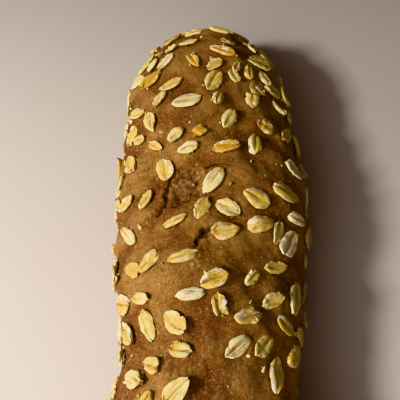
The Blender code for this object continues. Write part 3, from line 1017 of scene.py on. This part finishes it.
def make_flecks(look):
    """Bran flecks: flat eight-sided bits half sunk in the crust, from arrays of one squeezed octahedron."""
    draw = np.random.default_rng(FLECK_SEED)
    count = look.fleck_count
    along = draw.uniform(FLECK_MARGIN, ROLL_LENGTH - FLECK_MARGIN, count)
    angle = draw.uniform(LOWEST_FLECK, HIGHEST_FLECK, count)
    size = draw.uniform(*FLECK_SIZES, count) * np.exp(draw.normal(0.0, 0.30, count))
    corners = np.array([[1, 0, 0], [0, 1, 0], [-1, 0, 0], [0, -1, 0], [0, 0, 1], [0, 0, -1]], float)
    faces = np.array([[0, 1, 4], [1, 2, 4], [2, 3, 4], [3, 0, 4], [1, 0, 5], [2, 1, 5], [3, 2, 5], [0, 3, 5]])
    turn = draw.uniform(0.0, math.pi, count)
    spot, long_way, short_way, normal, _, _ = surface_frames(along, angle, turn)
    wide = draw.uniform(0.3, 1.0, (count, 6)) * size[:, None]
    points = (spot + normal * (slow_relief(spot)[:, None] + FLECK_RISE))[:, None]
    points = points + corners[None, :, 0:1] * size[:, None, None] * long_way[:, None]
    points = points + (corners[None, :, 1] * wide)[..., None] * short_way[:, None]
    points = points + corners[None, :, 2:3] * FLECK_HEIGHT * normal[:, None]
    points[..., 0] += SIDE_SHIFT
    points[..., 2] = np.maximum(points[..., 2], FLECK_CLEARANCE)
    tone = np.repeat(draw.uniform(0.0, 1.0, count) ** 1.5, len(corners))
    triangles = (faces[None] + (np.arange(count) * len(corners))[:, None, None]).reshape(-1, 3)
    mesh_piece("bran_flecks", points.reshape(-1, 3), np.zeros((0, 4), int), triangles, {"tone": tone},
               fleck_material(look))


def add_light(name, place, aim, size, power, colour):
    """A soft square area light that looks at a point."""
    data = bpy.data.lights.new(name, "AREA")
    data.shape = "SQUARE"
    data.size = size
    data.energy = power
    data.color = colour
    light = bpy.data.objects.new(name, data)
    light.location = place
    light.rotation_euler = (Vector(aim) - Vector(place)).to_track_quat("-Z", "Y").to_euler()
    bpy.context.scene.collection.objects.link(light)


def make_stage(view):
    """The floor, the key light from the left, a weak fill from the near left, the room and the camera."""
    scene = bpy.context.scene
    mesh = bpy.data.meshes.new("floor")
    half = 0.5 * view.floor_size
    corners = [(-half, -half, 0.0), (half, -half, 0.0), (half, half, 0.0), (-half, half, 0.0)]
    mesh.from_pydata(corners, [], [(0, 1, 2, 3)])
    mesh.materials.append(floor_material(view))
    floor = bpy.data.objects.new("floor", mesh)
    scene.collection.objects.link(floor)
    add_light("key_light", view.key_place, KEY_AIM, view.key_size, view.key_power, view.key_colour)
    add_light("fill_light", view.fill_place, FILL_AIM, view.fill_size, view.fill_power, view.fill_colour)
    world = bpy.data.worlds.new("room")
    world.use_nodes = True
    background = world.node_tree.nodes["Background"]
    background.inputs["Color"].default_value = tuple(view.room_colour) + (1.0,)
    background.inputs["Strength"].default_value = view.room_strength
    scene.world = world
    scene.view_settings.view_transform = "Khronos PBR Neutral"
    data = bpy.data.cameras.new("camera")
    data.lens = view.lens
    data.clip_start = 0.01
    camera = bpy.data.objects.new("camera", data)
    camera.location = view.camera_place
    camera.rotation_euler = (0.5 * math.pi - view.camera_pitch, 0.0, view.camera_yaw)
    scene.collection.objects.link(camera)
    scene.camera = camera


def count_property(name, description, default, least, most):
    """A whole number."""
    return bpy.props.IntProperty(name=name, description=description, default=default, min=least, max=most)


def number_property(name, description, default, least, most, **kind):
    """A number, with its unit or subtype where one fits."""
    return bpy.props.FloatProperty(name=name, description=description, default=default, min=least, max=most,
                                   **kind)


def length_property(name, description, default, least, most):
    """A small length."""
    return number_property(name, description, default, least, most, unit="LENGTH", precision=5)


def share_property(name, description, default, least, most):
    """A share between 0 and 1."""
    return number_property(name, description, default, least, most, subtype="FACTOR")


def place_property(name, description, default):
    """The place of a light or of the camera."""
    return bpy.props.FloatVectorProperty(name=name, description=description, default=default,
                                         subtype="TRANSLATION")


def colour_property(name, description, default, opacity=(1.0,)):
    """A colour with its opacity, or without one for a light."""
    default = default + opacity
    return bpy.props.FloatVectorProperty(name=name, description=description, default=default,
                                         size=len(default), subtype="COLOR", min=0.0, max=1.0)


class OatBreadLook(bpy.types.PropertyGroup):
    """Sizes and colours of the crust and the oats."""

    rings: count_property("Rings", "Rings of the crust's mesh along the roll", 436, 40, 450)
    sides: count_property("Sides", "Columns of the crust's mesh over its top and sides", 196, 24, 200)
    under_sides: count_property("Under sides", "Columns of the crust's mesh underneath", 20, 8, 60)
    flake_thickness: length_property("Flake thickness", "Thickness of a usual flake", 0.00120, 0.0003, 0.002)
    flake_cup: length_property("Flake cup", "How far a flake's edges curl off the crust", 0.00062, 0.0, 0.002)
    flake_lift: length_property("Flake lift", "Height of a flake's middle off the crust", 0.00068, 0.0, 0.002)
    lean_lift: length_property("Leaning lift", "Further height of a leaning flake", 0.00045, 0.0, 0.002)
    lean_slope: number_property("Leaning slope", "Rise to run of a leaning flake", 0.22, 0.0, 0.5)
    loose_tilt: number_property("Loose tilt", "Spread of the flakes' rise to run", 0.07, 0.0, 0.3)
    flake_drape: share_property("Flake drape", "Share by which flakes follow the crust", 0.55, 0.0, 1.0)
    raggedness: share_property("Raggedness", "Unevenness of the flakes' edges", 0.038, 0.0, 0.3)
    broken_share: share_property("Broken share", "Share of flakes with a broken end", 0.10, 0.0, 1.0)
    notch_share: share_property("Notched share", "Share of flakes with a cracked side", 0.28, 0.0, 1.0)
    crumb_count: count_property("Crumbs", "Broken bits of oat on the crust", 70, 1, 500)
    rim_bits: count_property("Rim bits", "Tiny broken bits at the rims of the flakes", 260, 1, 900)
    fleck_count: count_property("Bran flecks", "Flecks of bran in the crust", 1900, 1, 4000)
    crust_roughness: share_property("Crust roughness", "Mean roughness of the crust", 0.60, 0.1, 0.9)
    crust_light: colour_property("Crust light", "Lighter brown of the crust", (0.290, 0.160, 0.056))
    crust_dark: colour_property("Crust dark", "Darker brown of the crust", (0.158, 0.057, 0.020))
    # Real baked brown, also used as painted shade in the hollows and between the torn crumb's threads.
    crust_baked_and_shade: colour_property("Crust baked", "Blotches baked darkest", (0.086, 0.028, 0.010))
    crumb: colour_property("Torn crumb", "Crumb in the torn patch", (0.28, 0.165, 0.080))
    # Near black: painted shade at the bottoms of the cracks, in the pores and in small pits.
    crack: colour_property("Crack", "Bottom of the cracks", (0.030, 0.011, 0.004))
    crust_straw: colour_property("Crust straw", "Fine light grain of the crust", (0.49, 0.32, 0.13))
    speck: colour_property("Speck", "Straw-coloured bran specks", (0.50, 0.33, 0.14))
    flour: colour_property("Flour", "Flour dust", (0.56, 0.42, 0.23))
    oat_white: colour_property("Oat white", "Floury white of the oats", (0.85, 0.79, 0.54))
    oat_flour: colour_property("Oat flour", "White flour on one side of some oats", (0.89, 0.84, 0.68))
    oat_cream: colour_property("Oat cream", "Cream of the oats", (0.70, 0.632, 0.29))
    oat_golden: colour_property("Oat golden", "Golden brown of the oats", (0.60, 0.43, 0.082))
    oat_toasted: colour_property("Oat toasted", "Toasted ends of the oats", (0.62, 0.34, 0.028))
    oat_husk: colour_property("Oat husk", "Brown fibres of the oats", (0.36, 0.18, 0.045))
    # Dark brown of the burnt spots and of the crease line, which is partly painted shade.
    oat_burnt_and_crease_shade: colour_property("Oat crease", "Dark crease of the oats", (0.25, 0.12, 0.030))


class OatBreadStage(bpy.types.PropertyGroup):
    """Floor, lights and camera."""

    floor_size: number_property("Floor size", "Side of the square floor", 3.0, 0.5, 20.0, unit="LENGTH")
    floor_colour: colour_property("Floor colour", "Colour of the pale floor", (0.56, 0.545, 0.54))
    key_place: place_property("Key light place", "Where the key light hangs", (-0.37, -0.16, 0.345))
    key_size: number_property("Key light size", "Side of the key light", 0.08, 0.01, 3.0, unit="LENGTH")
    key_power: number_property("Key light power", "Power of the key light", 3.65, 0.0, 500.0, unit="POWER")
    key_colour: colour_property("Key light colour", "Colour of the key light", (0.975, 0.897, 0.79), ())
    fill_place: place_property("Fill light place", "Where the fill light hangs", (-0.35, -0.55, 0.45))
    fill_size: number_property("Fill light size", "Side of the fill light", 0.5, 0.01, 3.0, unit="LENGTH")
    fill_power: number_property("Fill light power", "Power of the fill light", 3.2, 0.0, 500.0, unit="POWER")
    fill_colour: colour_property("Fill light colour", "Colour of the fill light", (1.0, 0.82, 0.70), ())
    room_colour: colour_property("Room colour", "Colour of the room's light", (1.0, 0.71, 0.58), ())
    room_strength: number_property("Room strength", "Strength of the room's light", 0.11, 0.0, 5.0)
    lens: number_property("Lens", "Focal length of the camera", 43.2, 10.0, 200.0, subtype="DISTANCE_CAMERA")
    camera_place: place_property("Camera place", "Where the camera stands", (-0.0047, -0.0765, 0.1869))
    camera_pitch: number_property("Camera pitch", "Angle of the camera's view downwards", math.radians(56.0),
                                  0.0, 1.57, subtype="ANGLE")
    camera_yaw: number_property("Camera yaw", "Turn of the camera about the vertical", 0.0, -3.2, 3.2,
                                subtype="ANGLE")


class OATBREAD_OT_crust(bpy.types.Operator):
    """Make the crust with its wrinkles, pores, cracks and torn patch."""

    bl_idname = "oat_bread.crust"
    bl_label = "Make Crust"

    def execute(self, context):
        make_crust(context.scene.oat_bread_look)
        return {"FINISHED"}


class OATBREAD_OT_flakes(bpy.types.Operator):
    """Make the oat flakes of every kind."""

    bl_idname = "oat_bread.flakes"
    bl_label = "Make Oat Flakes"

    def execute(self, context):
        make_flakes(context.scene.oat_bread_look)
        return {"FINISHED"}


class OATBREAD_OT_crumbs(bpy.types.Operator):
    """Make the broken bits of oat and the bran flecks."""

    bl_idname = "oat_bread.crumbs"
    bl_label = "Make Crumbs and Flecks"

    def execute(self, context):
        make_crumbs(context.scene.oat_bread_look)
        make_flecks(context.scene.oat_bread_look)
        return {"FINISHED"}


class OATBREAD_OT_stage(bpy.types.Operator):
    """Make the floor, the lights and the camera."""

    bl_idname = "oat_bread.stage"
    bl_label = "Make Stage"

    def execute(self, context):
        make_stage(context.scene.oat_bread_stage)
        return {"FINISHED"}


class OATBREAD_PT_sidebar(bpy.types.Panel):
    """The steps in the order in which they are made."""

    bl_idname = "OATBREAD_PT_sidebar"
    bl_label = "Oat Bread"
    bl_space_type = "VIEW_3D"
    bl_region_type = "UI"
    bl_category = "Oat Bread"

    def draw(self, context):
        for operator in OPERATORS:
            self.layout.operator(operator.bl_idname)
        for settings in (context.scene.oat_bread_look, context.scene.oat_bread_stage):
            for key in settings.bl_rna.properties.keys()[2:]:
                self.layout.prop(settings, key)


OPERATORS = (OATBREAD_OT_crust, OATBREAD_OT_flakes, OATBREAD_OT_crumbs, OATBREAD_OT_stage)
CLASSES = (OatBreadLook, OatBreadStage) + OPERATORS + (OATBREAD_PT_sidebar,)


def register():
    for cls in CLASSES:
        bpy.utils.register_class(cls)
    bpy.types.Scene.oat_bread_look = bpy.props.PointerProperty(type=OatBreadLook)
    bpy.types.Scene.oat_bread_stage = bpy.props.PointerProperty(type=OatBreadStage)


def unregister():
    del bpy.types.Scene.oat_bread_stage
    del bpy.types.Scene.oat_bread_look
    for cls in reversed(CLASSES):
        bpy.utils.unregister_class(cls)


def main():
    register()
    bpy.ops.oat_bread.crust()
    bpy.ops.oat_bread.flakes()
    bpy.ops.oat_bread.crumbs()
    bpy.ops.oat_bread.stage()


if __name__ == "__main__":
    main()
